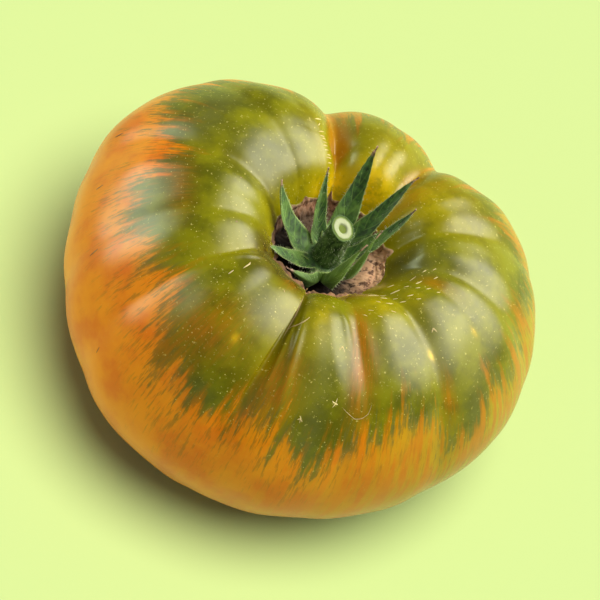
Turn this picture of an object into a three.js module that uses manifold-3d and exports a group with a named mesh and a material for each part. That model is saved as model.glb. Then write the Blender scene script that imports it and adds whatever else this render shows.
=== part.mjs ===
// A green heirloom tomato as picked: one broad ribbed fruit with a corky hollow at its stem end, the calyx of nine
// sepals that stays on it, and the cut stub of its stalk.
// Millimetres, +Z up. The fruit stands on its blossom end, and the origin is the middle of the flat spot it rests on.
// Azimuths are in degrees, counted from +X towards +Y.

import * as THREE from 'three';
import { mergeVertices } from 'three/addons/utils/BufferGeometryUtils.js';
import Module from 'manifold-3d';

const wasm = await Module();
wasm.setup();

// Fruit, driving dimensions
const fruitHeight = 63.5;      // table to the crest of the shoulders
const widestHeight = 31.5;     // table to the widest part
const restRadius = 14;         // flat spot at the blossom end
const crestRadius = 26.6;      // ring of the crest, on a side of the mean reach
const meanReach = 54;          // stalk axis to the widest part, all sides together
const reachEvery = 24;         // degrees between the sides listed next
const reaches = [54.5, 55.6, 56.5, 51.9, 52, 53, 57.5, 58.3, 55.1, 54, 55.2, 54.8, 53.3, 52.2, 52.5];
const shoulderFullness = -0.04; // above the widest part the section is leaner than an ellipse by this share
const baseFullness = -0.01;    // below it, a little leaner too

// Stem hollow: a funnel with rolled walls down to the rim of the skin, then a steep corky pit
const rimEvery = 30;           // degrees between the radii of the rim listed next
const rims = [12.9, 13.2, 13.8, 14.5, 14.0, 13.0, 12.9, 13.0, 13.2, 13.4, 12.0, 11.6];
const rimHeight = 52.5;
const rimLip = 1.5;            // the skin's edge rolls in over the pit by this much
const pitDepth = 5;
const funnelRoll = 0.3;        // 0 is a straight funnel, 1 is a quarter round

// Creases between the ribs: depth at the rim, at the crest and at the widest part, half width in degrees,
// and degrees that the crease slants from the crest to the widest part
const creases = [
  { at: 114, rim: 2.0, crest: 8.5, widest: 2.1, half: 8, slant: 0 },
  { at: 73, rim: 2.0, crest: 5.5, widest: 3.1, half: 8, slant: 0 },
  { at: 270, rim: 1.2, crest: 3.8, widest: 0.7, half: 6, slant: 0 },
  { at: 231, rim: 1.0, crest: 2.2, widest: 0.8, half: 6, slant: 0 },
  { at: 35, rim: 0.8, crest: 1.8, widest: 0.7, half: 7, slant: 0 },
  { at: 331, rim: 0.8, crest: 1.8, widest: 0.7, half: 6, slant: 0 },
  { at: 179, rim: 0.8, crest: 1.6, widest: 0.8, half: 7, slant: 0 },
  { at: 301, rim: 0.8, crest: 1.5, widest: 0.6, half: 7, slant: 0 },
  { at: 9, rim: 0.6, crest: 1.2, widest: 0.5, half: 6, slant: 0 },
  { at: 149, rim: 0.5, crest: 1.0, widest: 0.5, half: 6, slant: 0 },
  { at: 209, rim: 0.5, crest: 1.0, widest: 0.5, half: 6, slant: 0 },
  { at: 131, rim: 0.6, crest: 0.9, widest: 0.4, half: 6, slant: 5 },
  { at: 57, rim: 0.4, crest: 0.8, widest: 0.3, half: 6, slant: 0 },
  { at: 91, rim: 0.4, crest: 0.8, widest: 0.4, half: 6, slant: 0 },
  { at: 355, rim: 0.4, crest: 0.7, widest: 0.3, half: 6, slant: 0 },
  { at: 251, rim: 0.3, crest: 0.5, widest: 0.2, half: 6, slant: 0 },
];
const creaseRounding = 0.3;    // half widths over which a crease's bottom is rounded
const underFade = 0.4;         // share of a crease's depth left half way down the underside
const fleshRadius = 22;        // the ring in the flesh that the creases draw the skin in towards
const fleshHeight = 36;

// Stations along a meridian, from the middle of the pit's floor (0) to the middle of the rest spot (1)
const atPitWall = 0.10;
const atRim = 0.16;
const atCrest = 0.38;
const atWidest = 0.66;
const atUnder = 0.85;
const atRest = 0.94;
const sides = 132;             // facets round the fruit
const wallRows = 2;
const funnelRows = 6;
const shoulderRows = 10;
const underRows = 9;

// Calyx: a fleshy disc in the pit, and the sepals that grow from its edge
const nodeGap = 0.3;           // daylight between the fruit, the calyx and the stalk
const discBottom = rimHeight - pitDepth + nodeGap;
const discThickness = 1.8;
const discRadius = 5.4;
const discTop = discBottom + discThickness;
const sepalRoot = 3;           // distance from the axis at which the sepals start, sunk in the disc
const sepalThickness = 0.7;
const sepalFold = 0.42;        // height of the edges over the midrib, as a share of the half width
const sepalTipWidth = 0.5;
const sepalSteps = 9;

// Sepals: `from` is the azimuth at the disc, `spread` and `lift` place the belly of the bend, `to`, `reach` and
// `rise` are the tip's azimuth, distance from the axis and height over the disc, and `width` is the widest part
const sepals = [
  { from: 94, spread: 10.5, lift: 2.0, to: 99.4, reach: 18.7, rise: 19.8, width: 6.4 },
  { from: 64, spread: 10.0, lift: 3.3, to: 64.8, reach: 18.7, rise: 19.5, width: 5.2 },
  { from: 28, spread: 9.0, lift: 5.2, to: 42, reach: 15.7, rise: 17.3, width: 4.4 },
  { from: -35, spread: 10.8, lift: 0.6, to: -3, reach: 6.8, rise: 17.3, width: 3.8 },
  { from: -74, spread: 12.4, lift: 0.4, to: -38, reach: 7.5, rise: 16.4, width: 4.4 },
  { from: -80, spread: 13.4, lift: 1.2, to: -120, reach: 11.6, rise: 3.0, width: 4.4 },
  { from: -132, spread: 9.2, lift: 5.4, to: -139.2, reach: 15.8, rise: 7.6, width: 4.4 },
  { from: 187, spread: 12.1, lift: 2.2, to: 178.4, reach: 16.6, rise: 14.0, width: 7.0 },
  { from: 136, spread: 8.4, lift: 1.6, to: 137.8, reach: 12.8, rise: 16.2, width: 4.4 },
];

// Stalk: an upright stub with a square cut end
const stalkBottom = discTop + nodeGap;
const stalkTop = 61.4;
const stalkFootRadius = 3.4;
const stalkRadius = 2.95;
const stalkEndRadius = 3.05;
const barkThickness = 0.45;
const pithRadius = 1.1;
const pithSunk = 0.3;
const woodProud = 0.12;
const stalkSides = 24;

const QUARTER = Math.PI / 2;

// A point at an azimuth, a distance from the axis and a height
function polar(azimuth, radius, height) {
  const angle = THREE.MathUtils.degToRad(azimuth);
  return new THREE.Vector3(radius * Math.cos(angle), radius * Math.sin(angle), height);
}

// A closed BufferGeometry from a list of points and a list of triangles
function geometryOf(points, triangles) {
  const geometry = new THREE.BufferGeometry();
  geometry.setAttribute('position', new THREE.Float32BufferAttribute(points.flatMap((p) => p.toArray()), 3));
  geometry.setIndex(triangles);
  return geometry;
}

// A smooth closed curve through values listed at even steps of azimuth
function roundCurve(values, every, azimuth) {
  const count = values.length;
  const place = THREE.MathUtils.euclideanModulo(azimuth, 360) / every;
  const index = Math.floor(place);
  const s = place - index;
  const [before, start, end, after] = [-1, 0, 1, 2].map((k) => values[(index + k + count) % count]);
  const slopeStart = (end - before) / 2;
  const slopeEnd = (after - start) / 2;
  const [s2, s3] = [s * s, s * s * s];
  return (2 * s3 - 3 * s2 + 1) * start + (s3 - 2 * s2 + s) * slopeStart
    + (3 * s2 - 2 * s3) * end + (s3 - s2) * slopeEnd;
}

// Radius and height of the smooth fruit, before its creases
function meridian(azimuth, station) {
  const reach = roundCurve(reaches, reachEvery, azimuth);
  const crest = crestRadius * reach / meanReach;
  const rim = roundCurve(rims, rimEvery, azimuth);
  if (station <= atPitWall) {
    return [(rim - rimLip) * station / atPitWall, rimHeight - pitDepth];
  }
  if (station <= atRim) {
    const s = (station - atPitWall) / (atRim - atPitWall);
    return [rim - rimLip + rimLip * Math.sin(s * QUARTER), rimHeight - pitDepth * (1 - s)];
  }
  if (station <= atCrest) {
    const s = (station - atRim) / (atCrest - atRim);
    const out = (1 - funnelRoll) * s + funnelRoll * (1 - Math.cos(s * QUARTER));
    return [rim + (crest - rim) * out, rimHeight + (fruitHeight - rimHeight) * Math.sin(s * QUARTER)];
  }
  if (station <= atWidest) {
    const turn = (1 - (station - atCrest) / (atWidest - atCrest)) * QUARTER;
    const full = 1 + shoulderFullness * Math.sin(2 * turn) ** 2;
    return [
      crest + (reach - crest) * Math.cos(turn) * full,
      widestHeight + (fruitHeight - widestHeight) * Math.sin(turn) * full,
    ];
  }
  if (station <= atRest) {
    const turn = (station - atWidest) / (atRest - atWidest) * QUARTER;
    const full = 1 + baseFullness * Math.sin(2 * turn) ** 2;
    return [
      restRadius + (reach - restRadius) * Math.cos(turn) * full,
      widestHeight * (1 - Math.sin(turn) * full),
    ];
  }
  return [restRadius * (1 - station) / (1 - atRest), 0];
}

// Depth of all creases together at one point: each is deepest at its own azimuth and dies away on both sides
function creaseDepth(azimuth, station) {
  let depth = 0;
  for (const crease of creases) {
    const stops = [
      [0, 0], [atPitWall, 0], [atRim, crease.rim], [atCrest, crease.crest], [atWidest, crease.widest],
      [atUnder, underFade * crease.widest], [atRest, 0], [1, 0],
    ];
    const next = Math.max(1, stops.findIndex(([place]) => place >= station));
    const [[from, low], [to, high]] = [stops[next - 1], stops[next]];
    const deepest = low + (high - low) * (station - from) / (to - from);
    const middle = crease.at + crease.slant * (station - atCrest) / (atWidest - atCrest);
    const away = (THREE.MathUtils.euclideanModulo(azimuth - middle + 180, 360) - 180) / crease.half;
    depth += deepest * Math.exp(creaseRounding - Math.hypot(away, creaseRounding));
  }
  return depth;
}

// A point of the skin: the smooth fruit, drawn in by the creases towards the ring in the flesh
function skinPoint(azimuth, station) {
  const [radius, height] = meridian(azimuth, station);
  const [outward, upward] = [radius - fleshRadius, height - fleshHeight];
  const share = creaseDepth(azimuth, station) / Math.hypot(outward, upward);
  return polar(azimuth, radius - outward * share, height - upward * share);
}

// The stations of the rows of facets, evenly spaced between the named ones
function stationRows() {
  const spans = [[atPitWall, atRim, wallRows], [atRim, atCrest, funnelRows], [atCrest, atWidest, shoulderRows],
    [atWidest, atRest, underRows]];
  const rows = [atPitWall];
  for (const [from, to, count] of spans) {
    for (let k = 1; k <= count; k++) rows.push(from + (to - from) * k / count);
  }
  return rows;
}

// The fruit: rings of skin points from the pit's wall round to the rest spot, closed by a fan at each end
function fruitGeometry() {
  const points = [];
  const triangles = [];
  const rows = stationRows();
  for (const station of rows) {
    for (let k = 0; k < sides; k++) points.push(skinPoint(360 * k / sides, station));
  }
  const pitMiddle = points.push(new THREE.Vector3(0, 0, rimHeight - pitDepth)) - 1;
  const restMiddle = points.push(new THREE.Vector3(0, 0, 0)) - 1;
  const last = (rows.length - 1) * sides;
  for (let k = 0; k < sides; k++) {
    const next = (k + 1) % sides;
    triangles.push(pitMiddle, k, next);
    triangles.push(restMiddle, last + next, last + k);
    for (let row = 0; row < last; row += sides) {
      triangles.push(row + k, row + sides + k, row + sides + next);
      triangles.push(row + k, row + sides + next, row + next);
    }
  }
  return geometryOf(points, triangles);
}

// One sepal: a narrow pointed blade folded along its midrib, on a bent path from the disc to its tip
function sepalGeometry(sepal) {
  const path = new THREE.QuadraticBezierCurve3(
    polar(sepal.from, sepalRoot, discBottom + discThickness / 2),
    polar(sepal.from, sepal.spread, discBottom + discThickness / 2 + sepal.lift),
    polar(sepal.to, sepal.reach, discTop + sepal.rise),
  );
  const points = [];
  const triangles = [];
  const corners = 6;
  for (let k = 0; k <= sepalSteps; k++) {
    const s = k / sepalSteps;
    const middle = path.getPoint(s);
    const along = path.getTangent(s);
    const across = new THREE.Vector3().crossVectors(along, new THREE.Vector3(-middle.x, -middle.y, 14)).normalize();
    const inner = new THREE.Vector3().crossVectors(across, along).normalize();
    const half = Math.max(sepalTipWidth / 2, sepal.width / 2 * Math.min(1, 0.75 + s) * (1 - s) ** 0.7);
    const outline = [[-half, sepalFold * half], [0, 0], [half, sepalFold * half]];
    for (const [side, height] of outline) {
      points.push(middle.clone().addScaledVector(across, side).addScaledVector(inner, height));
    }
    for (const [side, height] of outline.reverse()) {
      points.push(middle.clone().addScaledVector(across, side).addScaledVector(inner, height - sepalThickness));
    }
    if (k === 0) continue;
    for (let corner = 0; corner < corners; corner++) {
      const [a, b] = [(k - 1) * corners + corner, (k - 1) * corners + (corner + 1) % corners];
      triangles.push(a, b, b + corners, a, b + corners, a + corners);
    }
  }
  const end = sepalSteps * corners;
  triangles.push(0, 4, 1, 0, 5, 4, 1, 3, 2, 1, 4, 3);
  triangles.push(end, end + 1, end + 4, end, end + 4, end + 5, end + 1, end + 2, end + 3, end + 1, end + 3, end + 4);
  return geometryOf(points, triangles);
}

// A solid of revolution about +Z from a profile of radius and height pairs
function turned(profile, segments) {
  const geometry = new THREE.LatheGeometry(profile.map(([r, z]) => new THREE.Vector2(r, z)), segments);
  return geometry.rotateX(QUARTER);
}

// A closed mesh as a solid that can be joined with others
function solidOf(geometry) {
  const bare = geometry.clone();
  bare.deleteAttribute('normal');
  bare.deleteAttribute('uv');
  const merged = mergeVertices(bare, 1e-4);
  const vertProperties = new Float32Array(merged.attributes.position.array);
  const triVerts = new Uint32Array(merged.index.array);
  return new wasm.Manifold(new wasm.Mesh({ numProp: 3, vertProperties, triVerts }));
}

// The calyx: the disc with its sepals joined to it
function calyxGeometry() {
  const discProfile = [
    [0, discBottom], [0.82 * discRadius, discBottom], [discRadius, discBottom + 0.35 * discThickness],
    [0.96 * discRadius, discBottom + 0.75 * discThickness], [0.78 * discRadius, discTop], [0, discTop],
  ];
  let calyx = solidOf(turned(discProfile, 27));
  for (const sepal of sepals) calyx = calyx.add(solidOf(sepalGeometry(sepal)));
  const mesh = calyx.getMesh();
  const geometry = new THREE.BufferGeometry();
  geometry.setAttribute('position', new THREE.Float32BufferAttribute(mesh.vertProperties, 3));
  geometry.setIndex(Array.from(mesh.triVerts));
  return geometry;
}

// The stalk: a little flared at its foot and under the cut, with the pith sunk in the cut end
function stalkGeometry() {
  const length = stalkTop - stalkBottom;
  const bark = stalkEndRadius - barkThickness;
  const profile = [
    [0, stalkBottom], [stalkFootRadius - 0.3, stalkBottom], [stalkFootRadius, stalkBottom + 0.05 * length],
    [stalkFootRadius - 0.2, stalkBottom + 0.15 * length], [stalkRadius, stalkBottom + 0.4 * length],
    [stalkRadius, stalkBottom + 0.7 * length], [stalkEndRadius, stalkTop - 0.1 * length],
    [stalkEndRadius, stalkTop], [bark, stalkTop], [bark - 0.15, stalkTop + woodProud],
    [pithRadius + 0.15, stalkTop + woodProud], [pithRadius, stalkTop - pithSunk], [0, stalkTop - pithSunk],
  ];
  return turned(profile, stalkSides);
}

const skinMaterial = new THREE.MeshStandardMaterial({ color: 0x7c7a12, roughness: 0.3, metalness: 0 });
const calyxMaterial = new THREE.MeshStandardMaterial({ color: 0x2f5a26, roughness: 0.75, metalness: 0 });
const stalkMaterial = new THREE.MeshStandardMaterial({ color: 0x4c6a34, roughness: 0.7, metalness: 0 });

const tomato = new THREE.Group();
const pieces = [
  ['fruit', fruitGeometry(), skinMaterial],
  ['calyx', calyxGeometry(), calyxMaterial],
  ['stalk', stalkGeometry(), stalkMaterial],
];
for (const [name, geometry, material] of pieces) {
  const piece = new THREE.Mesh(geometry, material);
  piece.name = name;
  tomato.add(piece);
}

export default tomato;
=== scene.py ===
import math

import bpy
import numpy as np
from mathutils import Matrix


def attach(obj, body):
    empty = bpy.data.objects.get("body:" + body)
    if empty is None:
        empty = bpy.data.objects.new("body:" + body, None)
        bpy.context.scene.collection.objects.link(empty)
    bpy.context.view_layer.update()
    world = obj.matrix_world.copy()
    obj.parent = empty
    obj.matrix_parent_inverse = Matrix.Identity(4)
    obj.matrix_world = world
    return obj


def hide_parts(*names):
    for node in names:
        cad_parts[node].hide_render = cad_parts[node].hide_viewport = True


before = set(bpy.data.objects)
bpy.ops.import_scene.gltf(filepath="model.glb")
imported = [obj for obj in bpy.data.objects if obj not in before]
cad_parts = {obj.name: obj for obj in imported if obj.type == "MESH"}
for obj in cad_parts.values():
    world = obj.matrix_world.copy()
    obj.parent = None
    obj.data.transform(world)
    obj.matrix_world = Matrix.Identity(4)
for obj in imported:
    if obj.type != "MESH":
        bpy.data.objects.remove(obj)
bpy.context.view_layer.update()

# A green heirloom tomato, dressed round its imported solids. Shapes are worked out in millimetres, as on
# the solids, and become metres when a mesh is made. Azimuths are in degrees from +X towards +Y, and the
# stalk stands on the Z axis.

# Camera. The photograph looks down on the fruit from 51 degrees above the table, from far off, and is
# rolled by 31 degrees, so that the upright stalk leans to the right in it.
VIEW_ELEVATION = math.radians(51)
VIEW_ROLL = math.radians(31)
VIEW_DISTANCE = 0.62
VIEW_LENS = 165
VIEW_SENSOR = 36
VIEW_TARGET = np.array([0.0, 0.0, 0.0322])


def facing(right, up, back, place):
    """Matrix of a camera or a light from its own three ways and its place."""
    return Matrix([*np.stack([right, up, back, place], axis=1).tolist(), [0, 0, 0, 1]])


level_right = np.array([1.0, 0.0, 0.0])
level_up = np.array([0.0, math.sin(VIEW_ELEVATION), math.cos(VIEW_ELEVATION)])
view_back = np.array([0.0, -math.cos(VIEW_ELEVATION), math.sin(VIEW_ELEVATION)])
view_right = level_right * math.cos(VIEW_ROLL) + level_up * math.sin(VIEW_ROLL)
view_up = level_up * math.cos(VIEW_ROLL) - level_right * math.sin(VIEW_ROLL)

camera = bpy.data.objects.new("camera", bpy.data.cameras.new("camera"))
camera.data.sensor_width = VIEW_SENSOR
camera.data.lens = VIEW_LENS
camera.matrix_world = facing(view_right, view_up, view_back, VIEW_TARGET + VIEW_DISTANCE * view_back)
bpy.context.scene.collection.objects.link(camera)
bpy.context.scene.camera = camera


# Skin. The whole fruit is one closed surface: a corky pit at the stem end, a funnel up to the crest of
# the shoulders, round the widest part and under to the blossom end. It is green on top and breaks into
# orange and yellow in ragged streaks lower down, as the fruit ripens from the bottom up.
FRUIT_HEIGHT = 63.5
WIDEST_HEIGHT = 31.5
REST_RADIUS = 14.0
CREST_RADIUS = 26.6
MEAN_REACH = 54.0
REACHES = [54.5, 55.6, 56.5, 51.9, 52, 53, 57.5, 58.3, 55.1, 54, 55.2, 54.8, 53.3, 52.2, 52.5]
SHOULDER_FULLNESS = -0.04
BASE_FULLNESS = -0.01
RIMS = [12.9, 13.2, 13.8, 14.5, 14.0, 13.0, 12.9, 13.0, 13.2, 13.4, 12.0, 11.6]
RIM_HEIGHT = 52.5
RIM_LIP = 1.5
PIT_DEPTH = 5.0
FUNNEL_ROLL = 0.3
FLESH_RADIUS = 22.0
FLESH_HEIGHT = 36.0
QUARTER = math.pi / 2

# Stations along a meridian, and roughly how many millimetres of skin lie from the pit's middle to each
AT_WALL, AT_RIM, AT_CREST, AT_WIDEST, AT_UNDER, AT_REST = 0.10, 0.16, 0.38, 0.66, 0.85, 0.94
STOPS = [0, AT_WALL, AT_RIM, AT_CREST, AT_WIDEST, AT_REST, 1]
SKIN_LENGTHS = [0, 11, 17, 36, 78, 130, 144]

# Creases between the ribs: azimuth, depth at the rim, at the crest and at the widest part, half width in
# degrees, and slant in degrees from the crest to the widest part
CREASES = np.array([
    (114, 2.0, 8.5, 2.1, 8, 0), (73, 2.0, 5.5, 3.1, 8, 0), (270, 1.2, 3.8, 0.7, 6, 0),
    (231, 1.0, 2.2, 0.8, 6, 0), (35, 0.8, 1.8, 0.7, 7, 0), (331, 0.8, 1.8, 0.7, 6, 0),
    (179, 0.8, 1.6, 0.8, 7, 0), (301, 0.8, 1.5, 0.6, 7, 0), (9, 0.6, 1.2, 0.5, 6, 0),
    (149, 0.5, 1.0, 0.5, 6, 0), (209, 0.5, 1.0, 0.5, 6, 0), (131, 0.6, 0.9, 0.4, 6, 5),
    (57, 0.4, 0.8, 0.3, 6, 0), (91, 0.4, 0.8, 0.4, 6, 0), (355, 0.4, 0.7, 0.3, 6, 0),
    (251, 0.3, 0.5, 0.2, 6, 0),
])
CREASE_ROUNDING = 0.3
UNDER_FADE = 0.4


def round_curve(values, azimuth):
    """A smooth closed curve through values at even steps of azimuth: a cubic between each two neighbours,
    whose slope at each value is half the difference of the values on either side of it."""
    values = np.asarray(values, float)
    place = np.mod(azimuth, 360) / 360 * len(values)
    index = np.floor(place).astype(int)
    s = place - index
    before, start, end, after = (values[(index + k) % len(values)] for k in (-1, 0, 1, 2))
    hold = 2 * s**3 - 3 * s**2 + 1
    return (hold * start + (s**3 - 2 * s**2 + s) * (end - before) / 2
            + (1 - hold) * end + (s**3 - s**2) * (after - start) / 2)


def bell(away):
    """A bell: one in the middle, and falling away as the exponential of less the square."""
    return np.exp(-(away**2))


def from_azimuth(azimuth, middle):
    """Degrees from the azimuth called middle, between -180 and 180."""
    return np.mod(azimuth - middle + 180, 360) - 180


def from_slanted(azimuth, station, at, slant):
    """Degrees from a line down the skin that passes at on the crest and at + slant on the widest part."""
    return from_azimuth(azimuth, at + slant * (station - AT_CREST) / (AT_WIDEST - AT_CREST))


def about_axis(radius, height, angle):
    """Points at distances from the Z axis, at heights, and at angles round it."""
    return np.stack(np.broadcast_arrays(radius * np.cos(angle), radius * np.sin(angle), height), axis=-1)


def meridian(azimuth, station):
    """Radius and height of the smooth fruit. The pit has a flat floor and a wall that leans in under the
    rim, the funnel rises as a sine, and the shoulder and the underside are quarter ellipses made leaner
    or fuller between their ends by a share of the squared sine of twice the angle."""
    reach = round_curve(REACHES, azimuth)
    crest = CREST_RADIUS * reach / MEAN_REACH
    rim = round_curve(RIMS, azimuth)
    floor, wall, funnel, shoulder, under, rest = (
        np.clip((station - a) / (b - a), 0, 1) for a, b in zip(STOPS, STOPS[1:]))
    roll = (1 - FUNNEL_ROLL) * funnel + FUNNEL_ROLL * (1 - np.cos(funnel * QUARTER))
    up = (1 - shoulder) * QUARTER
    lean = 1 + SHOULDER_FULLNESS * np.sin(2 * up) ** 2
    down = under * QUARTER
    full = 1 + BASE_FULLNESS * np.sin(2 * down) ** 2
    spans = [station <= stop for stop in STOPS[1:-1]]
    radius = np.select(spans, [
        (rim - RIM_LIP) * floor,
        rim - RIM_LIP + RIM_LIP * np.sin(wall * QUARTER),
        rim + (crest - rim) * roll,
        crest + (reach - crest) * np.cos(up) * lean,
        REST_RADIUS + (reach - REST_RADIUS) * np.cos(down) * full,
    ], REST_RADIUS * (1 - rest))
    height = np.select(spans, [
        RIM_HEIGHT - PIT_DEPTH + 0 * floor,
        RIM_HEIGHT - PIT_DEPTH * (1 - wall),
        RIM_HEIGHT + (FRUIT_HEIGHT - RIM_HEIGHT) * np.sin(funnel * QUARTER),
        WIDEST_HEIGHT + (FRUIT_HEIGHT - WIDEST_HEIGHT) * np.sin(up) * lean,
        WIDEST_HEIGHT * (1 - np.sin(down) * full),
    ], 0 * rest)
    return radius, height


def crease_depth(azimuth, station):
    """Depth of all creases together: each falls away from its own line as an exponential whose peak is
    rounded, and its depth changes evenly between the named stations."""
    depth = 0
    for at, rim, crest, widest, half, slant in CREASES:
        deepest = np.interp(station, [0, AT_WALL, AT_RIM, AT_CREST, AT_WIDEST, AT_UNDER, AT_REST, 1],
                            [0, 0, rim, crest, widest, UNDER_FADE * widest, 0, 0])
        away = from_slanted(azimuth, station, at, slant) / half
        depth = depth + deepest * np.exp(CREASE_ROUNDING - np.hypot(away, CREASE_ROUNDING))
    return depth


def skin_point(azimuth, station):
    """A point of the skin: the smooth fruit, drawn in by the creases towards a ring in the flesh."""
    azimuth, station = np.broadcast_arrays(np.asarray(azimuth, float), np.asarray(station, float))
    radius, height = meridian(azimuth, station)
    outward, upward = radius - FLESH_RADIUS, height - FLESH_HEIGHT
    share = crease_depth(azimuth, station) / np.hypot(outward, upward)
    return about_axis(radius - outward * share, height - upward * share, np.radians(azimuth))


def unit(vectors):
    """Vectors scaled to length one."""
    return vectors / np.maximum(np.linalg.norm(vectors, axis=-1, keepdims=True), 1e-9)


def skin_outward(azimuth, station):
    """Point and outward normal at places on the skin, from differences over a thousandth of a turn."""
    step = 0.001
    round_way = unit(skin_point(azimuth + 360 * step, station) - skin_point(azimuth - 360 * step, station))
    down_way = unit(skin_point(azimuth, station + step) - skin_point(azimuth, station - step))
    return skin_point(azimuth, station), unit(np.cross(down_way, round_way))


def waves(points, size, seed, count=28):
    """Smooth random relief between about -1 and 1: the sum of sine waves of about the given wavelength
    that run in random directions."""
    rng = np.random.default_rng(seed)
    ways = unit(rng.normal(size=(count, 3))) * rng.uniform(0.7, 1.4, (count, 1)) * 2 * math.pi / size
    return np.sin(points @ ways.T + rng.uniform(0, 2 * math.pi, count)).sum(axis=-1) / math.sqrt(count)


def make_piece(name, vertices, faces, material, slot, node=None, smooth=True):
    """A mesh object from points in millimetres and faces. It rides on the only body."""
    mesh = bpy.data.meshes.new(name)
    mesh.from_pydata((np.asarray(vertices) / 1000).tolist(), [], faces)
    mesh.validate()
    mesh.polygons.foreach_set("use_smooth", [smooth] * len(mesh.polygons))
    mesh.materials.append(material)
    piece = bpy.data.objects.new(name, mesh)
    bpy.context.scene.collection.objects.link(piece)
    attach(piece, "root")
    if node:
        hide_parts(node)
    return piece


def give_values(piece, name, values):
    """A named value for each vertex of a piece, which its material reads."""
    values = np.asarray(values, np.float32)
    vector = values.ndim > 1
    attribute = piece.data.attributes.new(name, "FLOAT_VECTOR" if vector else "FLOAT", "POINT")
    attribute.data.foreach_set("vector" if vector else "value", values.ravel())


def ring_faces(rows, sides):
    """Quads between rows of sides points each, round and closed on themselves."""
    row, side = np.meshgrid(np.arange(rows - 1), np.arange(sides), indexing="ij")
    here, beside = row * sides + side, row * sides + (side + 1) % sides
    return np.stack([here, here + sides, beside + sides, beside], axis=-1).reshape(-1, 4).tolist()


class Paint:
    """A material written as sums: each method adds nodes and gives back their output."""

    def __init__(self, name):
        self.material = bpy.data.materials.new(name)
        self.material.use_nodes = True
        self.tree = self.material.node_tree

    def put(self, socket, value):
        """A link if value is an output, or else the socket's own number, vector or colour."""
        if isinstance(value, bpy.types.NodeSocket):
            self.tree.links.new(value, socket)
        else:
            socket.default_value = value

    def add(self, kind, output=0, inputs=(), **settings):
        node = self.tree.nodes.new(kind)
        for key, value in settings.items():
            setattr(node, key, value)
        for key, value in dict(inputs).items():
            self.put(node.inputs[key], value)
        return node.outputs[output]

    def value(self, name, output="Fac"):
        return self.add("ShaderNodeAttribute", output, attribute_name=name)

    def place(self):
        return self.add("ShaderNodeTexCoord", "Object")

    def math(self, operation, a, b=0.0):
        return self.add("ShaderNodeMath", 0, {0: a, 1: b}, operation=operation)

    def times(self, a, b):
        return self.math("MULTIPLY", a, b)

    def plus(self, a, b):
        return self.math("ADD", a, b)

    def most(self, a, b):
        return self.math("MAXIMUM", a, b)

    def pushed(self, value, noise, spread):
        """Value pushed up and down by a noise, from end to end by about spread."""
        return self.plus(value, self.times(self.math("SUBTRACT", noise, 0.5), spread))

    def noise(self, vector, scale=1.0, detail=3.0, roughness=0.5, stretch=None):
        """Cloudy noise at a scale per unit of vector, which stretch first multiplies axis by axis."""
        if stretch:
            vector = self.add("ShaderNodeVectorMath", 0, {0: vector, 1: stretch}, operation="MULTIPLY")
        return self.add("ShaderNodeTexNoise", 0,
                        {"Vector": vector, "Scale": scale, "Detail": detail, "Roughness": roughness})

    def ramp(self, value, low, high, to_low=0.0, to_high=1.0):
        """Value carried smoothly from the span low to high to the span to_low to to_high."""
        return self.add("ShaderNodeMapRange", 0, {"Value": value, "From Min": low, "From Max": high,
                                                  "To Min": to_low, "To Max": to_high},
                        interpolation_type="SMOOTHSTEP")

    def broken(self, share, noise, low, high, to_low=0.0, to_high=1.0):
        """A share that a ramp of a noise breaks up."""
        return self.times(share, self.ramp(noise, low, high, to_low, to_high))

    def mix(self, share, a, b):
        """A colour, share of the way from a to b."""
        return self.add("ShaderNodeMix", 2, {0: share, 6: a, 7: b}, data_type="RGBA")

    def layers(self, base, *coats):
        """A colour under coats, each a share and a colour, laid on in their order."""
        for share, coat in coats:
            base = self.mix(share, base, coat)
        return base

    def bump(self, height, distance, strength=1.0, under=None):
        """A bumped normal from a height of 0 to 1, with the relief's real depth in metres."""
        inputs = {"Height": height, "Distance": distance, "Strength": strength}
        if under is not None:
            inputs["Normal"] = under
        return self.add("ShaderNodeBump", 0, inputs)

    def finish(self, **sockets):
        for name, value in sockets.items():
            self.put(self.tree.nodes["Principled BSDF"].inputs[name.replace("_", " ")], value)
        return self.material


def colour(*screen):
    """Red, green and blue as on a screen, 0 to 255, carried to the renderer's linear measure."""
    screen = np.array(screen)
    return [*np.where(screen <= 10.3, screen / 3294.6, ((screen / 255 + 0.055) / 1.055) ** 2.4), 1.0]


# Rows of the skin's grid: from a station, to a station, how many
FIRST_ROW, NEAR_RIM, LAST_ROW = 0.012, 0.20, 0.992
SKIN_ROWS = [(FIRST_ROW, AT_WALL, 13), (AT_WALL, AT_RIM, 24), (AT_RIM, NEAR_RIM, 16),
             (NEAR_RIM, AT_CREST, 40), (AT_CREST, AT_WIDEST, 56), (AT_WIDEST, AT_REST, 36),
             (AT_REST, LAST_ROW, 8)]
SKIN_SIDES = 480
# Its sides crowd together at the folds: azimuth, crowding, half width in degrees
CROWDED = [(-87, 3.0, 8), (112, 2.0, 6), (73, 2.0, 6), (-66, 1.2, 9), (-127, 1.2, 6)]

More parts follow.
